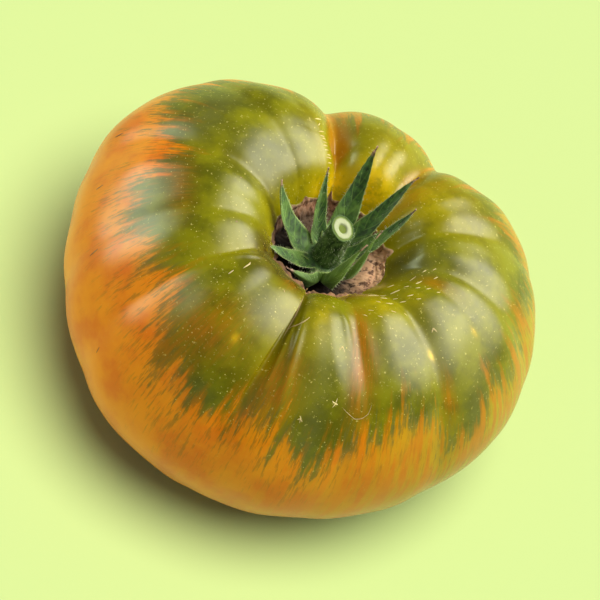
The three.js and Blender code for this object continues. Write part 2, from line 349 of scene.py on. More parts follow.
# Relief in millimetres: faint flutes and lumps of the flesh, the rough cork of the pit and its raised
# lip, and the blossom scar. Each fade is a row of stations and the share of the relief at each.
FLUTES = range(14, 30)
FLUTE_DEPTH = 0.11
FLUTE_FADE = [0.20, 0.34, 0.42, 0.60, 0.80, 1], [0, 1, 1, 0.35, 0.3, 0]
LUMP_SIZE, LUMP_DEPTH = 17.0, 0.20
LUMP_FADE = [0.16, 0.22, 0.9, 0.94], [0, 1, 1, 0]
CORK_START, CORK_WANDER, CORK_WANDER_SIZE, CORK_BLEND = 0.35, 0.25, 5, 0.6
CORK_LIP_AT, CORK_LIP_WIDTH, CORK_LIP_RAGGED, CORK_TEAR_SIZE = 0.75, 0.55, 0.3, 3
CORK_ROUGHNESS, CORK_GRAIN, CORK_STRETCH = 0.14, 2.2, [1, 1, 0.45]
CORK_FINE_SHARE, CORK_FINE_GRAIN, CORK_FINE_STRETCH = 0.8, 1.0, [1, 1, 0.3]
SCAR_RADIUS, SCAR_DEPTH = 5.5, 0.9
RELIEF_FADE = [0, 0.03, AT_REST - 0.02, AT_REST], [0.2, 1, 1, 0]

# Narrow ridges beside the creases: azimuth at the crest, slant to the widest part, station, half width in
# degrees, half length in stations, and height in millimetres
RIDGES = [
    (-87.6, 4, 0.44, 0.8, 0.06, 0.30), (-84.5, 9, 0.46, 1.5, 0.07, 0.55),
    (-72, 20, 0.43, 3.0, 0.07, 0.30), (-65, 16, 0.37, 2.0, 0.05, 0.35),
    (-125, -18, 0.38, 1.6, 0.08, 0.45), (-107, 2, 0.48, 10.0, 0.07, 2.1), (90, 0, 0.27, 14.0, 0.055, 1.3),
    (150, 0, 0.26, 24.0, 0.05, 1.3), (25, 0, 0.28, 16.0, 0.05, 0.9), (-60.5, 14, 0.44, 2.6, 0.09, -0.4),
]
# The fold in front: the rib on its left stands over it, and the rib on its right dips into it. Each row
# has the side, the height in millimetres, and the width and the step at the crease in degrees.
FOLD_AT = -90
FOLD_SIDES = [(-1, 2.7, 6, 0.5), (1, -1.2, 2.5, 0.4)]
FOLD_FADE = [0.17, 0.24, 0.40, 0.48, 0.56], [0, 0.45, 1, 0.75, 0]

# Where the green gives way to orange, as a station, every 10 degrees from +X
GREEN_ENDS = [
    0.54, 0.54, 0.53, 0.54, 0.52, 0.50, 0.50, 0.49, 0.50, 0.48, 0.49, 0.48, 0.50, 0.52, 0.53, 0.53, 0.53,
    0.515, 0.49, 0.49, 0.505, 0.53, 0.505, 0.50, 0.51, 0.55, 0.575, 0.58, 0.545, 0.58, 0.565, 0.545,
    0.535, 0.58, 0.59, 0.555,
]
# How far the ripe colour goes from yellow (0) to orange (1), every 30 degrees
ORANGE_SHARE = [0.0, 0.05, 0.15, 0.3, 0.45, 0.85, 1.0, 1.0, 1.0, 0.85, 0.6, 0.15]
# Spurs of cork that run up the creases from the rim: azimuth, half width in degrees, length in
# millimetres
CORK_SPURS = [
    (113, 1.6, 3.0), (34, 5.0, 2.2), (270, 1.6, 2.4), (73, 2.5, 1.2), (231, 2.0, 1.2), (331, 2.0, 0.6),
    (140, 2.5, 0.8), (165, 3.0, 0.7),
]
# How far the cork laps over the rim, and how high its lip stands, in millimetres, every 30 degrees
CORK_LAPS = [-1.3, -1.1, 0, 0, 0, 0, 0.3, 1.3, 1.6, 1.5, 1.2, -0.2]
CORK_LIPS = [0.2, 0.3, 0.3, 0.3, 0.3, 0.3, 0.4, 0.7, 0.9, 1.1, 0.9, 0.4]
# How much of the lip keeps its own tan rather than painted shade, from 0 to 1, every 30 degrees; the lip is
# in painted shade on the left
LIP_LIGHT = [0.9, 0.8, 0.8, 0.8, 0.8, 0.6, 0.1, 0.1, 0.45, 1.0, 1.0, 1.0]
# How far the pit's floor rises to its wall, or sinks in front of it, in millimetres, every 30 degrees
PIT_FLOORS = [2.8, 2.4, 0.4, 0, 0, 0, -2.0, -3.0, -3.0, -3.0, -2.4, 0.6]
# How much pale cork with painted light covers the wall, and how far the wall is lit rather than in painted
# shade, from 0 to 1, every 30 degrees
CORK_PALE_AND_LIT = [0.85, 0.6, 0.15, 0.1, 0.15, 0.1, 0, 0, 0, 0, 0, 0.15]
CORK_LIT_SHARES = [1.0, 1.0, 0.85, 0.9, 0.9, 0.75, 0.4, 0.15, 0.05, 0.05, 0.15, 0.9]
# Distances from the axis between which the floor starts and ends to rise, and the pale cork with painted
# light comes in
FLOOR_RISES = 6.5, 10.0
PALE_AND_LIT_SHOWS = 6.0, 8.5
# Clouds of colour: azimuth, station, half width in degrees, half height in stations, and strength
CLOUDS = {
    "amber": [
        (-57, 0.42, 4, 0.10, 1.0), (-83, 0.50, 6, 0.05, 0.95), (-108, 0.48, 9, 0.04, 0.75),
        (-133, 0.52, 4, 0.03, 0.7), (-113, 0.54, 6, 0.04, 0.8), (-100, 0.30, 4, 0.04, 0.5),
        (-2, 0.33, 4, 0.05, 0.6), (-26, 0.52, 2, 0.04, 0.7), (-47, 0.20, 10, 0.04, 0.6),
        (64, 0.28, 6, 0.12, 0.5), (-160, 0.45, 12, 0.02, 0.5),
    ],
    "slate": [
        (-148, 0.53, 5, 0.05, 1.0), (-124, 0.55, 4, 0.05, 1.0), (-168, 0.49, 4, 0.03, 0.8),
        (-100, 0.57, 4, 0.03, 0.9), (-70, 0.56, 3, 0.05, 1.0), (-87, 0.56, 2, 0.04, 0.8),
        (-18, 0.55, 5, 0.05, 0.7), (9, 0.25, 10, 0.07, 1.0), (22, 0.21, 6, 0.05, 0.6),
        (-24, 0.46, 3, 0.05, 0.7), (5, 0.55, 6, 0.03, 0.7), (-72, 0.46, 5, 0.05, 0.5),
        (-192, 0.45, 10, 0.03, 0.8),
    ],
    "lime": [
        (-44, 0.30, 12, 0.07, 1.0), (-77, 0.37, 5, 0.05, 0.9), (56, 0.28, 17, 0.13, 1.0),
        (-22, 0.20, 20, 0.05, 1.0), (88, 0.28, 12, 0.14, 1.0), (-168, 0.22, 10, 0.06, 0.5),
        (140, 0.20, 22, 0.06, 0.8), (124, 0.33, 5, 0.10, 0.6), (-20, 0.33, 7, 0.05, 0.5),
    ],
    # Gold: small golden spots, and golden skin at the back of the funnel brightened as painted light
    "gold": [
        (90, 0.22, 15, 0.07, 1.0), (113, 0.22, 6, 0.06, 0.9), (128, 0.19, 7, 0.04, 0.4),
        (66, 0.20, 8, 0.04, 0.4), (-29, 0.446, 0.8, 0.008, 0.8), (-101, 0.47, 0.8, 0.006, 0.7),
        (-8, 0.45, 0.8, 0.008, 0.5),
    ],
    # Umber: dark brown skin near the front of the pit and in a groove, partly painted shade
    "umber": [
        (-130, 0.24, 13, 0.08, 1.0), (-108, 0.26, 9, 0.07, 0.8), (-97, 0.28, 6, 0.06, 0.7),
        (-60, 0.45, 3, 0.06, 0.8), (-118, 0.33, 7, 0.05, 0.5), (18, 0.20, 6, 0.04, 0.6),
    ],
}

rows = np.concatenate([np.linspace(low, high, count, endpoint=False) for low, high, count in SKIN_ROWS]
                      + [[LAST_ROW]])
fine_azimuths = np.linspace(0, 360, 7201)
crowding = 1 + sum(gain * bell(from_azimuth(fine_azimuths, at) / half) for at, gain, half in CROWDED)
turned = np.concatenate([[0], np.cumsum((crowding[1:] + crowding[:-1]) / 2)])
azimuths = np.interp(np.arange(SKIN_SIDES) / SKIN_SIDES, turned / turned[-1], fine_azimuths)
station_grid, azimuth_grid = np.meshgrid(rows, azimuths, indexing="ij")
skin, outward_way = skin_outward(azimuth_grid, station_grid)
skin_length = np.interp(station_grid, STOPS, SKIN_LENGTHS)
from_axis = np.hypot(skin[..., 0], skin[..., 1])

spur = sum(length * bell(from_azimuth(azimuth_grid, at) / half) for at, half, length in CORK_SPURS)
wander = CORK_WANDER * waves(skin * [1, 1, 0], CORK_WANDER_SIZE, 11)
cork_edge = SKIN_LENGTHS[2] + CORK_START + wander + spur + round_curve(CORK_LAPS, azimuth_grid)
cork_inward = cork_edge - skin_length
cork_share = np.clip(cork_inward / CORK_BLEND + 0.5, 0, 1)

flute_rng = np.random.default_rng(5)
flutes = sum(np.sin(np.radians(azimuth_grid) * k + flute_rng.uniform(0, 2 * math.pi)) for k in FLUTES)
relief = FLUTE_DEPTH * flutes / math.sqrt(len(FLUTES)) * np.interp(station_grid, *FLUTE_FADE)
relief += LUMP_DEPTH * waves(skin, LUMP_SIZE, 3) * np.interp(station_grid, *LUMP_FADE)
torn = 1 - CORK_LIP_RAGGED / 2 + CORK_LIP_RAGGED * waves(skin, CORK_TEAR_SIZE, 17)
lip = bell((cork_inward - CORK_LIP_AT) / CORK_LIP_WIDTH)
relief += round_curve(CORK_LIPS, azimuth_grid) * lip * torn
rough_cork = (waves(skin * CORK_STRETCH, CORK_GRAIN, 7)
              + CORK_FINE_SHARE * waves(skin * CORK_FINE_STRETCH, CORK_FINE_GRAIN, 8))
relief += CORK_ROUGHNESS * rough_cork * cork_share
for at, slant, middle, half, length, height in RIDGES:
    ridge_away = from_slanted(azimuth_grid, station_grid, at, slant)
    relief += height * np.exp(-(ridge_away / half) ** 2 - ((station_grid - middle) / length) ** 2)
fold_away = from_azimuth(azimuth_grid, FOLD_AT)
fold = sum(height * np.exp(-np.abs(fold_away) / width) * (1 - np.exp(-np.abs(fold_away) / step))
           * (side * fold_away > 0) for side, height, width, step in FOLD_SIDES)
relief += fold * np.interp(station_grid, *FOLD_FADE)
relief *= np.interp(station_grid, *RELIEF_FADE)

skin_full = skin + outward_way * relief[..., None]
skin_full[..., 2] += SCAR_DEPTH * bell(from_axis / SCAR_RADIUS) * (station_grid > AT_UNDER)
down_wall = np.clip((RIM_HEIGHT - skin[..., 2]) / PIT_DEPTH, 0, 1) * (station_grid < AT_CREST)
to_wall = np.interp(from_axis, FLOOR_RISES, [0, 1])
skin_full[..., 2] += round_curve(PIT_FLOORS, azimuth_grid) * to_wall * down_wall

skin_vertices = np.concatenate(
    [skin_full.reshape(-1, 3), [[0, 0, RIM_HEIGHT - PIT_DEPTH], [0, 0, SCAR_DEPTH]]])
skin_faces = ring_faces(len(rows), SKIN_SIDES)
last_row = (len(rows) - 1) * SKIN_SIDES
pit_middle, scar_middle = len(skin_vertices) - 2, len(skin_vertices) - 1
skin_faces += [[pit_middle, k, (k + 1) % SKIN_SIDES] for k in range(SKIN_SIDES)]
skin_faces += [[scar_middle, last_row + (k + 1) % SKIN_SIDES, last_row + k] for k in range(SKIN_SIDES)]


def clouds_at(clouds):
    """Strength of soft patches on the skin: a bell in azimuth and station each, summed and held to 1."""
    return np.clip(sum(strength * np.exp(-(from_azimuth(azimuth_grid, at) / wide) ** 2
                                         - ((station_grid - middle) / tall) ** 2)
                       for at, middle, wide, tall, strength in clouds), 0, 1)


# Values that the skin's material reads: the grid, and the values in the middle of the pit and of the scar
CORK_HOLD = 9
green_end = np.interp(round_curve(GREEN_ENDS, azimuth_grid), STOPS, SKIN_LENGTHS)
# Pale cork brightened by painted light near the pit's wall on the right
near_wall = np.interp(from_axis, PALE_AND_LIT_SHOWS, [0, 1])
pale_and_lit_cork = round_curve(CORK_PALE_AND_LIT, azimuth_grid) * near_wall
flow = about_axis(MEAN_REACH, skin_length, np.radians(azimuth_grid))
skin_values = {
    "flow": (flow, [0, 0, 0], [0, 0, SKIN_LENGTHS[-1]]),
    "green_reserve": (green_end - skin_length, 60, -90),
    "cork_inward": (np.clip(cork_inward, -CORK_HOLD, CORK_HOLD), CORK_HOLD, -CORK_HOLD),
    "orange_share": (round_curve(ORANGE_SHARE, azimuth_grid), 0.5, 0.8),
    "pit_floor": (round_curve(np.maximum(PIT_FLOORS, 0), azimuth_grid), 0, 0),
    "cork_sun": (np.clip(pale_and_lit_cork, 0, 1), 0, 0),
    "lip_light": (round_curve(LIP_LIGHT, azimuth_grid), 0, 0),
    "cork_lit_share": (round_curve(CORK_LIT_SHARES, azimuth_grid), 0.1, 0.1),
    "from_rim": (skin_length - SKIN_LENGTHS[2], -SKIN_LENGTHS[2], SKIN_LENGTHS[-1] - SKIN_LENGTHS[2]),
    **{name: (clouds_at(patches), 0, 0) for name, patches in CLOUDS.items()},
    "crease": (crease_depth(azimuth_grid, station_grid), 0, 0),
}

ORANGE = colour(228, 136, 4)
DEEP_ORANGE = colour(214, 108, 1)
CREASE_ORANGE = colour(164, 114, 6)
OCHRE = colour(156, 104, 6)
YELLOW = colour(144, 128, 8)
OLIVE = colour(112, 112, 2)
DARK_OLIVE = colour(78, 80, 3)
LIME = colour(150, 138, 3)
GOLD = colour(240, 196, 10)
SLATE = colour(88, 90, 42)
UMBER = colour(60, 45, 3)
AMBER = colour(150, 94, 1)
VEIL = colour(122, 94, 18)
SPECK = colour(220, 208, 110)

paint = Paint("tomato_skin")
way = paint.value("flow", "Vector")
spot = paint.place()
cork_in = paint.value("cork_inward")
crease_here = paint.value("crease")
amber_here = paint.value("amber")

# Noise in millimetres round and along the skin: broad tongues, brush strokes and fine streaks. Noise per
# metre of space: clouds, mottle and grain.
tongues = paint.noise(way, detail=2, stretch=(0.15, 0.15, 0.03))
strokes = paint.noise(way, roughness=0.6, stretch=(0.45, 0.45, 0.075))
streaks = paint.noise(way, roughness=0.65, stretch=(1.5, 1.5, 0.24))
clouds = paint.noise(spot, 90.0, detail=4, roughness=0.6)
mottle = paint.noise(spot, 420.0, detail=4, roughness=0.65)
grain = paint.noise(spot, 1300.0, roughness=0.7)

# The green cover: the noises push its edge about by millimetres, and it thins out over a soft band with
# crisp streaks in it
TONGUE_SPREAD, STROKE_SPREAD, STREAK_SPREAD, MOTTLE_SPREAD = 20.0, 20.0, 20.0, 9.0
SOFT_BAND, CRISP_BAND = (-5.0, 5.5), (-1.7, 1.9)
SOFT_SHARE, CRISP_SHARE = 0.54, 0.46
soft_edge = paint.pushed(
    paint.pushed(paint.value("green_reserve"), tongues, TONGUE_SPREAD), strokes, STROKE_SPREAD)
edge = paint.pushed(paint.pushed(soft_edge, streaks, STREAK_SPREAD), mottle, MOTTLE_SPREAD)
green_share = paint.plus(paint.times(paint.ramp(soft_edge, *SOFT_BAND), SOFT_SHARE),
                         paint.times(paint.ramp(edge, *CRISP_BAND), CRISP_SHARE))

# The ripe skin below it, yellow or orange, with a brown veil that thins out away from the green
VEIL_BAND, VEIL_SHARE = (-17.0, -1.0), 0.55
veil_reach = paint.broken(paint.ramp(edge, *VEIL_BAND), streaks, 0.50, 0.64)
ripe = paint.mix(paint.value("orange_share"), paint.mix(paint.ramp(strokes, 0.40, 0.60), OCHRE, YELLOW),
                 paint.mix(paint.ramp(clouds, 0.35, 0.65), DEEP_ORANGE, ORANGE))
ripe = paint.mix(paint.times(veil_reach, VEIL_SHARE), ripe, VEIL)

# The green skin with its clouds, one over another. Lime also fills the funnel, and slate and amber line the
# edge of the green.
# Gold is partly painted light in the back of the funnel, and umber is partly painted shade in front of the
# pit.
FUNNEL_LIME = 14.0, 0.0, 0.0, 0.6
SLATE_BAND, AMBER_BAND = (8.0, 0.5), (9.0, 1.0)
lime_most = paint.most(paint.value("lime"), paint.ramp(paint.value("from_rim"), *FUNNEL_LIME))
slate_edge = paint.broken(paint.ramp(edge, *SLATE_BAND), strokes, 0.46, 0.58)
amber_edge = paint.broken(paint.ramp(edge, *AMBER_BAND), strokes, 0.54, 0.42, 0.0, 0.7)
green = paint.layers(
    paint.mix(paint.ramp(clouds, 0.36, 0.62), DARK_OLIVE, OLIVE),
    (paint.broken(lime_most, mottle, 0.28, 0.60, 0.45, 1.0), LIME),
    (paint.ramp(crease_here, 0.4, 2.6, 0.0, 0.25), LIME),
    (paint.broken(paint.value("gold"), mottle, 0.28, 0.55, 0.4, 1.0), GOLD),
    (paint.broken(paint.value("umber"), mottle, 0.28, 0.60, 0.6, 1.0), UMBER),
    (paint.broken(paint.most(paint.value("slate"), slate_edge), mottle, 0.30, 0.55, 0.35, 0.9), SLATE),
    (paint.broken(paint.most(amber_here, amber_edge), streaks, 0.35, 0.58, 0.35, 0.95), AMBER))

# Pale specks in the skin, each in the middle of its own cell, over a fine pale grain
cells = paint.add("ShaderNodeTexVoronoi", "Distance", {"Vector": spot, "Scale": 950.0})
cell_draw = paint.add("ShaderNodeSeparateColor", 0, {0: cells.node.outputs["Color"]})
speck_size = paint.ramp(cell_draw, 0.30, 1.0, -0.05, 0.12)
speck = paint.ramp(paint.math("SUBTRACT", cells, speck_size), 0.035, -0.02, 0.0, 0.62)
speck_most = paint.most(speck, paint.ramp(grain, 0.60, 0.75, 0.0, 0.45))

# Cork: fibrous and pale on the walls, with a tan lip. Painted shade darkens the floor, the walls on the
# left and in front, and the lip on the left. On the wall at the right, pale cork is brightened by painted
# light where the lamp does not reach.
CORK_PAINTED_SHADE = colour(16, 7, 2)
CORK_DARK = colour(92, 56, 38)
CORK_BROWN = colour(172, 122, 92)
CORK_PALE = colour(214, 170, 138)
CORK_LIP_TONE = colour(134, 98, 68)
CORK_LIP_SHADE = colour(74, 50, 30)
CORK_SUN = colour(226, 180, 142)
CORK_SHADE_FROM, CORK_SHADE_RISE, CORK_SHADE_END = 6.4, 1.2, 2.6
LIP_BAND = 1.9, 1.1
COVER_WANDER, COVER_BAND = 0.8, (-0.12, 0.22)
fibres = paint.noise(spot, detail=5, roughness=0.65, stretch=(700.0, 700.0, 350.0))
shade_from = paint.plus(CORK_SHADE_FROM, paint.times(paint.value("pit_floor"), CORK_SHADE_RISE))
# The walls are in painted shade on the left and in front, and the floor is in painted shade below the wall
wall_share = paint.times(paint.value("cork_lit_share"), paint.ramp(cork_in, shade_from, CORK_SHADE_END))
# The lip is in painted shade on the left
lip_light = paint.broken(paint.value("lip_light"), mottle, 0.38, 0.54)
wall_tone = paint.layers(CORK_DARK, (paint.ramp(fibres, 0.36, 0.50), CORK_BROWN),
                         (paint.ramp(fibres, 0.50, 0.68), CORK_PALE))
cork_tone = paint.layers(
    paint.mix(wall_share, CORK_PAINTED_SHADE, wall_tone),
    (paint.broken(paint.ramp(cork_in, *LIP_BAND), fibres, 0.30, 0.50, 0.6, 1.0),
     paint.mix(lip_light, CORK_LIP_SHADE, CORK_LIP_TONE)),
    (paint.broken(paint.value("cork_sun"), fibres, 0.38, 0.52, 0.1, 1.0), CORK_SUN))
cork_cover = paint.ramp(paint.pushed(cork_in, mottle, COVER_WANDER), *COVER_BAND)

body = paint.layers(
    paint.mix(green_share, ripe, green),
    (paint.ramp(crease_here, 3.8, 7.2, 0.0, 0.9), CREASE_ORANGE),
    (paint.broken(amber_here, streaks, 0.54, 0.68, 0.0, 0.55), OCHRE),
    (paint.broken(speck_most, green_share, 0.1, 0.9, 0.2, 1.0), SPECK),
    (cork_cover, cork_tone))

skin_relief = paint.bump(grain, 0.00003, 0.5)
speck_relief = paint.bump(speck, 0.00003, 0.6, under=skin_relief)
cork_relief = paint.bump(paint.times(fibres, cork_cover), 0.0006, 0.9, under=speck_relief)
skin_material = paint.finish(
    Base_Color=body, Normal=cork_relief, Roughness=paint.ramp(cork_cover, 0.0, 1.0, 0.26, 0.85), IOR=1.37,
    Subsurface_Weight=0.06, Subsurface_Radius=(0.6, 0.3, 0.05), Subsurface_Scale=0.004)

fruit_skin = make_piece("fruit_skin", skin_vertices, skin_faces, skin_material, "skin", "fruit")
for name, (grid, pit, scar) in skin_values.items():
    give_values(fruit_skin, name, np.concatenate([grid.reshape(-1, *np.shape(pit)), [pit], [scar]]))


# Marks. Old scratches and cracks in the skin have healed as thin raised lines of cork: a crack down the
# fold in front, pale flecks round the stem end, a ladder of short ones beside the deep crease behind, and
# a few scabs.

# Longer marks: the azimuths and stations that each line runs through, its width in millimetres, and its
# tone from brown (0) to pale (1)
LONG_MARKS = [
    ([-90.3, -89.8, -89.2, -88.7, -88.6], [0.17, 0.24, 0.33, 0.40, 0.43], 0.42, 0.25),
    ([-88.8, -86.5, -84.0, -82.2], [0.412, 0.405, 0.398, 0.385], 0.34, 0.45),
    ([-66.3, -65.4, -64.4], [0.496, 0.499, 0.500], 0.34, 1.0),
    ([-65.8, -65.2, -64.9], [0.505, 0.500, 0.491], 0.26, 1.0),
    ([-63, -60.5, -58, -56, -54, -53.4], [0.503, 0.512, 0.520, 0.519, 0.512, 0.498], 0.15, 0.4),
    ([-67.5, -66, -64.8], [0.425, 0.418, 0.426], 0.28, 0.9),
    ([-24.8, -23.4, -22.8], [0.415, 0.410, 0.418], 0.36, 0.6),
    ([-74.2, -73.5, -72.7], [0.531, 0.529, 0.532], 0.32, 0.9),
    ([-73.7, -73.4, -73.3], [0.525, 0.529, 0.535], 0.26, 0.9),
    ([-119.6, -118.8, -118.2], [0.372, 0.380, 0.392], 0.34, 0.75),
    ([-119.4, -119.0], [0.405, 0.415], 0.3, 0.6), ([-99.6, -98.6], [0.352, 0.360], 0.24, 0.7),
    ([-72.4, -71.6], [0.318, 0.325], 0.24, 0.8), ([-143.4, -142.6], [0.360, 0.367], 0.30, 0.1),
    ([-170.5, -169.6], [0.348, 0.353], 0.28, 0.1), ([-184.4, -183.8], [0.574, 0.590], 0.34, 0.0),
    ([-167.3, -166.8], [0.578, 0.592], 0.30, 0.0), ([-148.3, -147.8], [0.583, 0.600], 0.34, 0.0),
    ([-126.2, -125.9], [0.630, 0.641], 0.26, 0.0),
]
# Short pale dashes that run round the fruit: azimuth, station, length, width
DASHES = [
    (-36, 0.245, 2.6, 0.26), (-34, 0.280, 1.6, 0.24), (-36, 0.315, 1.7, 0.22), (-50, 0.330, 1.0, 0.2),
    (-47, 0.360, 0.9, 0.2), (-38, 0.350, 1.1, 0.2), (-26, 0.320, 1.0, 0.24), (-22, 0.270, 2.0, 0.34),
    (-20, 0.315, 1.2, 0.24), (-19, 0.340, 0.9, 0.2), (-8, 0.330, 1.1, 0.22), (-5, 0.290, 1.4, 0.26),
    (-2, 0.265, 1.6, 0.24), (2, 0.325, 1.0, 0.22), (-15, 0.230, 1.5, 0.24), (-29, 0.255, 1.2, 0.2),
    (-27, 0.295, 0.8, 0.2), (-11, 0.305, 0.8, 0.22), (-13, 0.275, 0.9, 0.2), (6, 0.285, 1.0, 0.24),
    (-42, 0.300, 0.8, 0.2), (-54, 0.345, 0.6, 0.18), (-31, 0.365, 0.6, 0.18), (-7, 0.360, 0.6, 0.2),
    (9, 0.310, 0.7, 0.2),
]
DASH_RISE = 0.004
# The ladder behind: its azimuth at either end, the stations it spans, the number of its rungs, how far
# they wander in azimuth and station, and the spans of their half lengths in degrees and of their widths
LADDER_AZIMUTHS, LADDER_STATIONS, LADDER_RUNGS = (121.5, 126.0), (0.28, 0.41), 11
RUNG_WANDER, RUNG_RISE = (0.4, 0.002), 0.005
RUNG_SPREADS, RUNG_WIDTHS = (0.9, 2.3), (0.2, 0.36)
PALE_TONE = 0.95
MARK_SIDES = 6
MARK_STEPS = 14
MARK_STANDING = 0.5
MARK_END = 0.15


def on_skin(azimuth, station):
    """Places on the finished skin, worked out between the four nearest points of its grid."""
    row = np.interp(station, rows, np.arange(len(rows)))
    side = np.interp(np.mod(azimuth, 360), azimuths, np.arange(SKIN_SIDES))
    row_low = np.minimum(row.astype(int), len(rows) - 2)
    side_low = np.minimum(side.astype(int), SKIN_SIDES - 2)
    down, along = (row - row_low)[..., None], (side - side_low)[..., None]
    upper, lower = (skin_full[line, side_low] * (1 - along) + skin_full[line, side_low + 1] * along
                    for line in (row_low, row_low + 1))
    return upper * (1 - down) + lower * down


def closed_tube(rings):
    """Vertices and faces of a tube through rows of points, with a flat end at each of its ends."""
    steps, sides = rings.shape[:2]
    faces = ring_faces(steps, sides)
    faces.append(list(range(sides)))
    faces.append(list(range((steps - 1) * sides, steps * sides))[::-1])
    return rings.reshape(-1, 3), faces


def joined(tubes):
    """Vertices and faces of several tubes, counted on as one mesh."""
    first, vertices, faces = 0, [], []
    for tube_vertices, tube_faces in tubes:
        vertices.append(tube_vertices)
        faces += [[first + corner for corner in face] for face in tube_faces]
        first += len(tube_vertices)
    return np.concatenate(vertices), faces


def raised_line(mark_azimuths, mark_stations, width):
    """Closed rings of a low ridge that follows the skin: a flat oval section whose width and height taper
    to both ends as a sine, half sunk in the skin."""
    share = np.linspace(0, 1, MARK_STEPS)
    corners = np.linspace(0, 1, len(mark_azimuths))
    azimuth, station = np.interp(share, corners, mark_azimuths), np.interp(share, corners, mark_stations)
    middle = on_skin(azimuth, station)
    out = skin_outward(azimuth, station)[1][:, None]
    across = unit(np.cross(out[:, 0], unit(np.gradient(middle, axis=0))))[:, None]
    turn = np.linspace(0, 2 * math.pi, MARK_SIDES, endpoint=False)[:, None]
    taper = np.maximum(np.sin(math.pi * share) ** 0.5, MARK_END)[:, None, None]
    section = (across * np.cos(turn) + out * MARK_STANDING * np.sin(turn)) * width / 2
    return middle[:, None] + section * taper


marks = list(LONG_MARKS)
for azimuth, station, length, width in DASHES:
    spread = math.degrees(length / 2 / np.hypot(*on_skin(np.array(azimuth), np.array(station))[:2]))
    marks.append(([azimuth - spread, azimuth, azimuth + spread],
                  [station - DASH_RISE, station, station + DASH_RISE], width, PALE_TONE))
ladder_rng = np.random.default_rng(83)
for rung in np.linspace(0, 1, LADDER_RUNGS):
    azimuth = np.interp(rung, [0, 1], LADDER_AZIMUTHS) + ladder_rng.normal(0, RUNG_WANDER[0])
    station = np.interp(rung, [0, 1], LADDER_STATIONS) + ladder_rng.normal(0, RUNG_WANDER[1])
    spread, width = ladder_rng.uniform(*RUNG_SPREADS), ladder_rng.uniform(*RUNG_WIDTHS)
    marks.append(([azimuth - spread, azimuth + spread], [station + RUNG_RISE, station - RUNG_RISE], width,
                  PALE_TONE))

paint = Paint("healed_cork")
mark_noise = paint.noise(paint.place(), 900.0)
mark_colour = paint.mix(paint.value("tone"), colour(104, 66, 30), colour(206, 190, 128))
mark_colour = paint.mix(paint.ramp(mark_noise, 0.45, 0.65, 0.0, 0.5), mark_colour, colour(150, 120, 70))
mark_relief = paint.bump(mark_noise, 0.0001, 0.6)
mark_material = paint.finish(Base_Color=mark_colour, Roughness=0.75, Normal=mark_relief)
mark_vertices, mark_faces = joined(closed_tube(raised_line(*mark[:3])) for mark in marks)
cork_marks = make_piece("cork_marks", mark_vertices, mark_faces, mark_material, "skin")
give_values(cork_marks, "tone", np.repeat([mark[3] for mark in marks], MARK_SIDES * MARK_STEPS))


# Calyx. A fleshy disc sits in the pit, and nine narrow sepals grow from its edge. Each is folded along
# its midrib, bent outwards at its foot, and dried to a thin brown point.
DISC_BOTTOM = RIM_HEIGHT - PIT_DEPTH + 0.3
DISC_THICKNESS = 1.8
DISC_MIDDLE = DISC_BOTTOM + DISC_THICKNESS / 2
DISC_TOP = DISC_BOTTOM + DISC_THICKNESS
DISC_SIDES = 120
DISC_PROFILE = np.array([
    (0.2, 0), (3.2, 0), (4.6, 0.05), (5.2, 0.4), (5.5, 0.8), (5.5, 1.15), (5.2, 1.5), (4.6, 1.8),
    (3.9, 1.95), (3.2, 2.2),
])
SEPAL_ROOT = 3.0
SEPAL_LOOKS_UP = 14.0
SEPAL_TURN_SHARE = 0.4
SEPAL_FOLD = 0.42
SEPAL_LEAST = 0.16
SEPAL_CURL_FROM = 0.88
SEPAL_TOOTH = 0.05
SEPAL_RIPPLE = 0.10
SEPAL_MARGIN_THICK, SEPAL_MIDRIB_THICK = 0.16, 0.34
SEPAL_STEPS = 110
SEPAL_ACROSS = 13
SEPAL_SEED = 40
# Each sepal: azimuth at the disc, reach and lift of the bend, azimuth, reach and rise of the tip, widest
# part, the degrees that the blade is turned about its midrib, and how sharply it bends
SEPALS = [
    (94, 10.5, 2.0, 99.4, 18.7, 19.8, 6.4, 0, 1), (64, 10.0, 3.3, 64.8, 18.7, 19.5, 5.2, 0, 1),
    (28, 9.0, 5.2, 42, 15.7, 17.3, 4.4, 0, 1), (-35, 10.8, 0.6, -3, 6.8, 17.3, 3.6, 45, 1),
    (-74, 12.4, 0.0, -38, 7.5, 16.4, 4.2, 60, 1), (-78, 9.2, 1.6, -120, 12.6, 3.4, 5.4, -85, 2.2),
    (-128, 10.4, 3.4, -139.2, 16.0, 6.4, 4.2, 15, 1), (187, 12.1, 2.2, 178.4, 16.6, 14.0, 7.0, 0, 1),
    (136, 8.4, 1.6, 137.8, 12.8, 16.2, 4.2, 0, 1),
]


